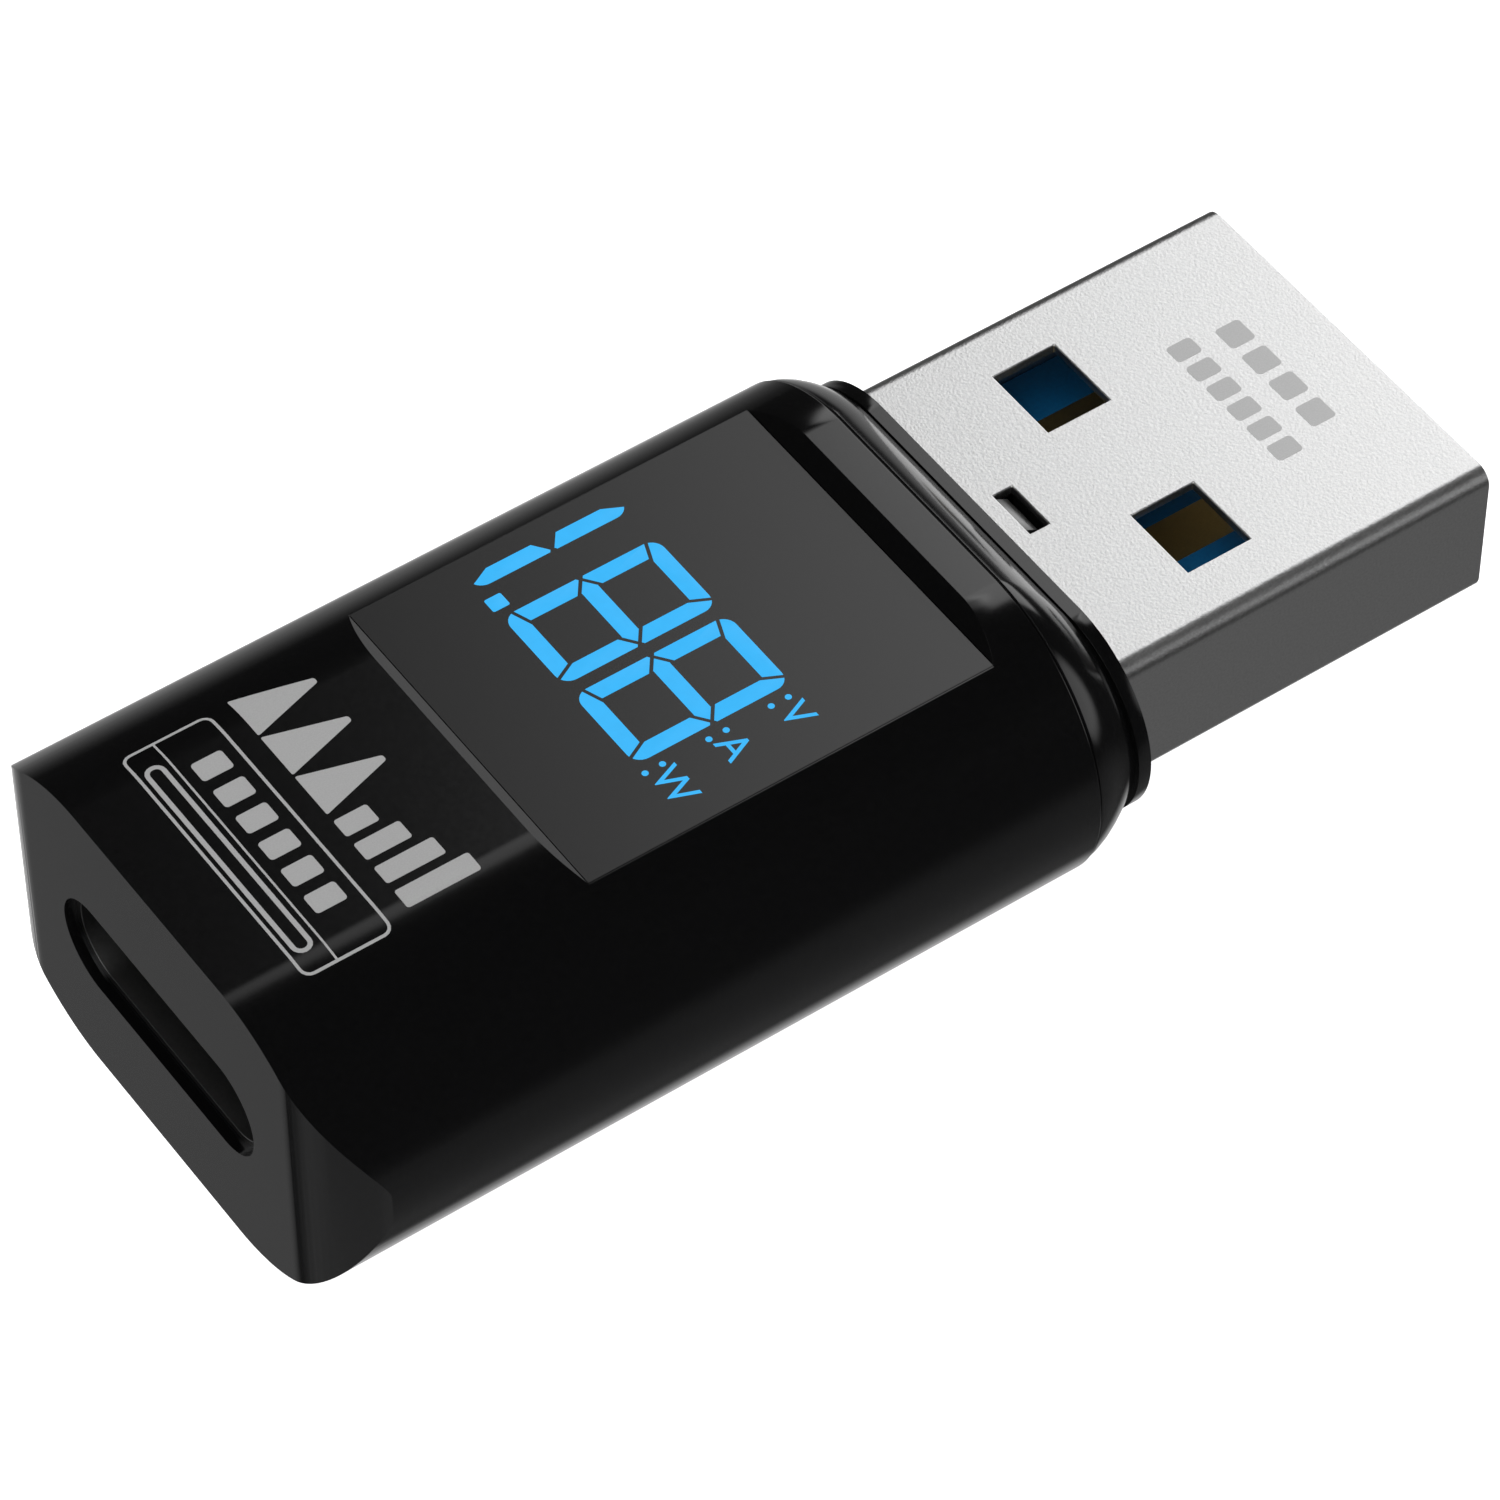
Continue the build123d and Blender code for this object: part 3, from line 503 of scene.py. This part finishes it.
# %% Housing sleeve: pocket, window seat, socket mouth and hollow
skin = 0.02
floor_z = window_high.z - skin
pocket = block("pocket", (window_low.x, -10, floor_z), (window_high.x, 10, floor_z + 3))
pick(pocket)
bpy.ops.object.mode_set(mode="EDIT")
for side in (1, -1):
    middle = (window_low.x + window_high.x) / 2 * MM
    choose(pocket, "VERT", lambda v: v.co.z > (floor_z + 1) * MM and (v.co.x - middle) * side > 0)
    bpy.ops.transform.translate(value=(3 * MM * side, 0, 0))
bpy.ops.object.mode_set(mode="OBJECT")
carve(sleeve, pocket)
seat_low = window_low - Vector((0.03, 0.03, 0.4))
seat_high = window_high + Vector((0.03, 0.03, 1))
carve(sleeve, block("seat", seat_low, seat_high))
socket_low, socket_high = edges_of("socket_shell")
socket_width, socket_height = 8.94, 3.16
wall, rim = 1.4, 0.8
carve(sleeve, track_bar("mouth", socket_width - 0.19, socket_height - 0.21, x_face - 1, x_face + 1.5))
carve(sleeve, track_bar("shell_seat", socket_width + 0.1, socket_height + 0.1, socket_low.x, x_face + 1.5))
carve(sleeve, track_bar("hollow", width - 2 * wall, height - 2 * wall, x_face + 1.2, x_joint + 1))
carve(sleeve, track_bar("cap_seat", width - 2 * rim, height - 2 * rim, x_joint - 1.35, x_joint + 1))
soften(sleeve, 0.06, 4, 18)
settle(sleeve, black_gloss, "meter", "black_housing", "housing_sleeve")

# %% [markdown]
# ## End cap
# The plug end is closed by a cap. It starts a hair inside the sleeve's surface, so a thin dark line runs
# all round, narrows over a short shoulder and ends in a collar that holds the plug. The rings below follow
# that profile from inside out.

# %% End cap
cap_low, cap_high = edges_of("end_cap")
x_neck = cap_high.x - 0.38
cap = track_body("end_cap_shoulder", [
    (x_joint - 1.3, 14.4, 7.86),
    (x_joint + 0.02, 14.4, 7.86),
    (x_joint + 0.02, 15.9, 9.36),
    (x_joint + 0.07, 16.0, 9.46),
    (x_joint + 0.28, 15.92, 9.26),
    (x_joint + 0.58, 15.72, 8.82),
    (x_joint + 0.88, 15.44, 8.24),
    (x_joint + 1.18, 15.10, 7.54),
    (x_joint + 1.42, 14.80, 6.86),
    (x_neck, 14.55, 6.22),
    (x_neck, 14.9, 6.4),
    (cap_high.x, 14.9, 6.4),
])
bore = block("bore", (x_joint - 3, -6.05, axis_z - 2.3), (x_tip, 6.05, axis_z + 2.3))
carve(cap, round_along(bore, 0, 0.54))
soften(cap, 0.07, 4, 28)
settle(cap, black_gloss, "meter", "black_housing", "end_cap")

# %% [markdown]
# ## Window
# The window is a plate that lies in the pocket's floor. Its face is a thin skin that reaches right out to
# where the pocket runs out of the round sides, so no seam shows. The plate below it is inset and extruded
# down.

# %% Window
radius = height / 2
floor_reach = (width - height) / 2 + math.sqrt(radius ** 2 - (window_high.z - axis_z) ** 2) - 0.006
window = block("window", (window_low.x, -floor_reach, floor_z), (window_high.x, floor_reach, window_high.z))
pick(window)
bpy.ops.object.mode_set(mode="EDIT")
choose(window, "FACE", lambda f: f.normal.z < -0.9)
bpy.ops.mesh.inset(thickness=(floor_reach - window_high.y) * MM)
bpy.ops.mesh.extrude_region_move(TRANSFORM_OT_translate={"value": (0, 0, (window_low.z - floor_z) * MM)})
bpy.ops.object.mode_set(mode="OBJECT")
soften(window, 0)
settle(window, window_satin, "meter", "smoked_window", "display_window")

# %% [markdown]
# ## Lit digits
# A segment digit is one rounded plate with two windows in it, cut into seven bars by thin slanting gaps. It
# is quickest to make it that way too: a plate, two holes, then the gaps. The digits are tops towards the
# plug.

# %% Segment parts
glow_low, glow_high = window_high.z - 0.15, window_high.z + 0.004
stroke = 0.49
gap = 0.10


def slit(x, y, length, angle):
    """A thin cutter across a bar, turned by an angle. In the background, rotate turns the other way."""
    tool = block("slit", (x - length / 2, y - gap / 2, glow_low - 0.1),
                 (x + length / 2, y + gap / 2, glow_high + 0.1))
    pick(tool)
    bpy.ops.object.mode_set(mode="EDIT")
    bpy.ops.mesh.select_all(action="SELECT")
    bpy.ops.transform.rotate(value=-math.radians(angle), orient_axis="Z", center_override=(x * MM, y * MM, 0))
    bpy.ops.object.mode_set(mode="OBJECT")
    return tool


def digit(name, x0, x1, y0, y1):
    """A full eight between two corners, in millimetres."""
    plate = round_along(block(name, (x0, y0, glow_low), (x1, y1, glow_high)), 2, 0.40, 7)
    middle = (x0 + x1) / 2
    for a, b in ((x0 + stroke, middle - stroke / 2), (middle + stroke / 2, x1 - stroke)):
        hole = block("hole", (a, y0 + stroke, glow_low - 1), (b, y1 - stroke, glow_high + 1))
        carve(plate, hole)
    for x, sign in ((x0, 1), (x1, -1)):
        carve(plate, slit(x + sign * 0.50 * stroke, y0 + 0.75 * stroke, 1.1, 27 * sign))
        carve(plate, slit(x + sign * 0.81 * stroke, y1 - 0.50 * stroke, 1.1, -69 * sign))
    for y, lean in ((y0, 1), (y1, -1)):
        for sign in (1, -1):
            px, py = middle + sign * stroke * 0.35, y + lean * stroke * 0.60
            carve(plate, slit(px, py, 0.8, 53 * sign * lean))
    return plate


digit_low, digit_high = -6.13, -1.46
eights = [digit("eight", digit_low, digit_high, y0, y1) for y0, y1 in ((0.28, 3.04), (-2.87, -0.12))]
print("digits:", len(eights))

# %% [markdown]
# The leading one is only the two right-hand bars of a digit, and the decimal point is a short block beside
# it. All of them are joined into one piece, as they are one light guide on the real object.

# %% Leading one and decimal point
one = digit("one", digit_low, digit_high, 4.17, 6.9)
carve(one, block("rest_of_digit", (digit_low - 1, 4.17 + stroke, 0), (digit_high + 1, 8, 12)))
pick(one)
bpy.ops.object.mode_set(mode="EDIT")
bpy.ops.mesh.select_all(action="SELECT")
bpy.ops.mesh.separate(type="LOOSE")
bpy.ops.object.mode_set(mode="OBJECT")
bars = [part for part in bpy.context.selected_objects if part.dimensions.x > 1.5 * MM]
for part in [part for part in bpy.context.selected_objects if part not in bars]:
    bpy.data.objects.remove(part)
print("bars of the one:", len(bars))
point = block("point", (-6.20, 3.30, glow_low), (-5.70, 3.77, glow_high))
segments = join([*eights, *bars, round_along(point, 2, 0.05, 2)], "lit_segments")
soften(segments, 0.012, 2)
settle(segments, lit_blue, "meter", "blue_light_guide", "segment_light_guides")

# %% [markdown]
# ## Unit letters
# V, A and W each have two dots before them. The font that comes with Blender is plain enough for such
# marks. A text object becomes a mesh before it is put in place, so that its place can be applied.

# %% Unit letters
def letter(sign, x, y, size):
    """A letter that lies on the window with its top towards the plug."""
    rest()
    bpy.ops.object.text_add(location=(0, 0, 0))
    text = bpy.context.object
    text.data.body = sign
    text.data.size = size * MM
    text.data.align_x, text.data.align_y = "CENTER", "CENTER"
    text.data.extrude = (glow_high - glow_low) / 2 * MM
    text.data.offset = 0.002 * MM
    bpy.ops.object.convert(target="MESH")
    text = bpy.context.object
    centre = sum((Vector(corner) for corner in text.bound_box), Vector()) / 8
    text.rotation_euler = (0, 0, -math.pi / 2)
    text.location = (x * MM - centre.y, y * MM + centre.x, (glow_low + glow_high) / 2 * MM)
    bpy.ops.object.transform_apply(location=True, rotation=True, scale=True)
    return text


def dot(x, y, radius):
    rest()
    bpy.ops.mesh.primitive_cylinder_add(
        vertices=24, radius=radius * MM, depth=(glow_high - glow_low) * MM,
        location=(x * MM, y * MM, (glow_low + glow_high) / 2 * MM)
    )
    bpy.ops.object.transform_apply(location=True, rotation=True, scale=True)
    return bpy.context.object


marks = []
for sign, x, y in (("V", -1.92, -3.80), ("A", -3.80, -3.80), ("W", -5.71, -3.95)):
    marks.append(letter(sign, x, y, 1.16))
    marks += [dot(x - 0.39, -3.23, 0.09), dot(x + 0.13, -3.23, 0.09)]
units = join(marks, "lit_units")
soften(units, 0)
settle(units, lit_blue, "meter", "blue_light_guide", "unit_light_guides")

# %% [markdown]
# ## Plug shell
# A plug shell is one strip of steel, folded round into a box whose edges meet in a seam underneath. Two
# latch windows go through the top and the bottom, and a small stake behind them is pushed down to hold the
# insulator.

# %% Plug shell
shell_low, shell_high = edges_of("plug_shell")
x_back = shell_high.x - 18.75
sheet_mm = 0.3
shell = block("plug_steel_shell", (x_back, shell_low.y, shell_low.z), shell_high)
round_along(shell, 0, 0.49, 7)
inner = block("inner", (x_back - 1, shell_low.y + sheet_mm, shell_low.z + sheet_mm),
              (x_tip + 1, shell_high.y - sheet_mm, shell_high.z - sheet_mm))
carve(shell, round_along(inner, 0, 0.24, 4))
for side in (1, -1):
    y = side * 3.0
    carve(shell, block("latch_window", (x_tip - 8.47, y - 1.21, 0), (x_tip - 6.47, y + 1.21, 12)))
carve(shell, block("stake_window", (x_tip - 10.97, -0.8, axis_z), (x_tip - 10.37, 0.8, 12)))
carve(shell, block("seam", (x_back - 1, -0.025, 0), (x_tip + 1, 0.025, axis_z)))
soften(shell, 0.05, 3)
settle(shell, steel, "meter", "plug_steel", "plug_shell")

# %% Stake
# The stake takes the darker copy of the shell's steel, as painted shade.
stake = block("stake", (x_tip - 11.3, -0.66, shell_high.z - 0.3), (x_tip - 10.95, 0.66, shell_high.z - 0.02))
pick(stake)
bpy.ops.object.mode_set(mode="EDIT")
choose(stake, "FACE", lambda f: f.normal.x > 0.9)
bpy.ops.mesh.extrude_region_move(TRANSFORM_OT_translate={"value": (0.34 * MM, 0, -0.19 * MM)})
bpy.ops.mesh.extrude_region_move(TRANSFORM_OT_translate={"value": (0.04 * MM, 0, -0.30 * MM)})
bpy.ops.object.mode_set(mode="OBJECT")
soften(stake, 0.015, 2)
settle(stake, stake_steel_painted_shade, "meter", "plug_steel")

# %% [markdown]
# The stake goes down into a pit in the insulator. A thin black cup lines the pit as painted shade: it is a
# dark sheet that makes what shows past the stake dark. It is a block whose top face is inset and then pushed
# down inside.

# %% Stake pit
pit_low = Vector((x_tip - 11.25, -0.83, axis_z + 1.01))
pit_high = Vector((x_tip - 10.29, 0.83, shell_high.z - 0.29))
# The black cup stands in for shade in the pit: painted shade, not a part of the plug.
pit = block("stake_pit_shade_cup", pit_low, pit_high)
pick(pit)
bpy.ops.object.mode_set(mode="EDIT")
choose(pit, "FACE", lambda f: f.normal.z > 0.9)
bpy.ops.mesh.inset(thickness=0.03 * MM)
bpy.ops.mesh.extrude_region_move(TRANSFORM_OT_translate={"value": (0, 0, -0.88 * MM)})
bpy.ops.object.mode_set(mode="OBJECT")
settle(pit, black_matte, "meter", "black_insulator")

# %% [markdown]
# ## Socket shell
# Just inside the mouth the rim of the socket's own steel shell catches the light.
# Its steel is painted darker than bare steel: painted shade inside the mouth.

# %% Socket shell
socket = track_bar("socket_steel_shell", socket_width, socket_height, socket_low.x, socket_high.x)
inner_width, inner_height = socket_width - 2 * sheet_mm, socket_height - 2 * sheet_mm
carve(socket, track_bar("socket_hollow", inner_width, inner_height, socket_low.x - 1, socket_high.x + 1))
soften(socket, 0.06, 3)
settle(socket, socket_steel, "meter", "socket_steel", "socket_shell")

# %% [markdown]
# ## Printed marks
# The housing carries a bold mark, a row of small bars and a plain picture of a socket in a frame. All are
# thin ink, so each is a very flat body that stands a few thousandths of a millimetre above the gloss. Where
# the ink reaches the round shoulders it is bisected into narrow strips and let down onto the surface.

# %% Ink
top_z = sleeve_high.z
ink_low, ink_high = top_z - 0.02, top_z + 0.004
ink = []


def bar(x0, x1, y0, y1, radius):
    piece = block("ink_bar", (x0, min(y0, y1), ink_low), (x1, max(y0, y1), ink_high))
    ink.append(round_along(piece, 2, radius, 4))
    return ink[-1]


def outline(x0, x1, y0, y1, radius, line):
    piece = bar(x0, x1, y0, y1, radius)
    hole = block("hole", (x0 + line, y0 + line, 0), (x1 - line, y1 - line, 12))
    carve(piece, round_along(hole, 2, max(radius - line, 0.02), 4))


def arrow(x0, x1, y, reach):
    """A solid arrow head that points towards the plug, with its tip a little blunt."""
    piece = block("arrow", (x0, y - reach, ink_low), (x1, y + reach, ink_high))
    pick(piece)
    bpy.ops.object.mode_set(mode="EDIT")
    choose(piece, "FACE", lambda f: f.normal.x > 0.9)
    bpy.ops.transform.resize(value=(1, 0.12, 1), center_override=(x1 * MM, y * MM, 0))
    bpy.ops.object.mode_set(mode="OBJECT")
    ink.append(round_along(piece, 2, 0.06, 3))


big_low, big_high = x_tip - 31.9, x_tip - 29.75
for count in range(3):
    arrow(big_low, big_high, 3.65 - 1.55 * count, 0.74)
for count, share in enumerate((0.45, 0.62, 0.8, 1.0)):
    y = -0.75 - 0.9 * count
    bar(big_low, big_low + share * (big_high - big_low), y + 0.31, y - 0.31, 0.08)
frame_low, frame_high = x_tip - 35.1, x_tip - 32.5
outline(frame_low, frame_high, -4.15, 4.3, 0.3, 0.085)
bar(frame_low + 0.93, frame_low + 0.99, -4.1, 4.25, 0.02)
outline(frame_low + 0.2, frame_low + 0.78, -3.5, 3.6, 0.28, 0.13)
for count in range(6):
    y = 2.75 - 1.02 * count
    bar(frame_low + 1.3, frame_low + 2.2, y + 0.33, y - 0.33, 0.1)
print_marks = join(ink, "printed_marks")
flat_half = (width - height) / 2
bpy.ops.object.mode_set(mode="EDIT")
for side in (1, -1):
    for step in range(8):
        bpy.ops.mesh.select_all(action="SELECT")
        bpy.ops.mesh.bisect(plane_co=(0, side * (flat_half + 0.15 * step) * MM, 0), plane_no=(0, 1, 0))
mesh = bmesh.from_edit_mesh(print_marks.data)
for vert in mesh.verts:
    past = max(abs(vert.co.y) / MM - flat_half, 0)
    vert.co.z -= (radius - math.sqrt(radius ** 2 - past ** 2)) * MM
bmesh.update_edit_mesh(print_marks.data)
bpy.ops.object.mode_set(mode="OBJECT")
soften(print_marks, 0)
settle(print_marks, grey_print, "meter", "black_housing")

# %% [markdown]
# ## Laser marks
# Two rows of small bars stand for the lot mark that a plug maker burns into the steel. They are the same
# kind of flat bar as the ink, so the list and its two levels are set anew for the steel and the bars join
# up again.

# %% Laser marks
ink = []
ink_low, ink_high = shell_high.z - 0.02, shell_high.z + 0.003
for row, (x0, x1) in enumerate(((x_tip - 2.75, x_tip - 1.96), (x_tip - 4.2, x_tip - 3.4))):
    for count in range(4 + 2 * row):
        step = 1.14 if row == 0 else 0.86
        y = (1.78 if row == 0 else 2.1) - step * count
        bar(x0, x1, y + 0.36 * step, y - 0.36 * step, 0.12)
laser_marks = join(ink, "laser_marks")
soften(laser_marks, 0)
settle(laser_marks, laser_grey, "meter", "plug_steel")
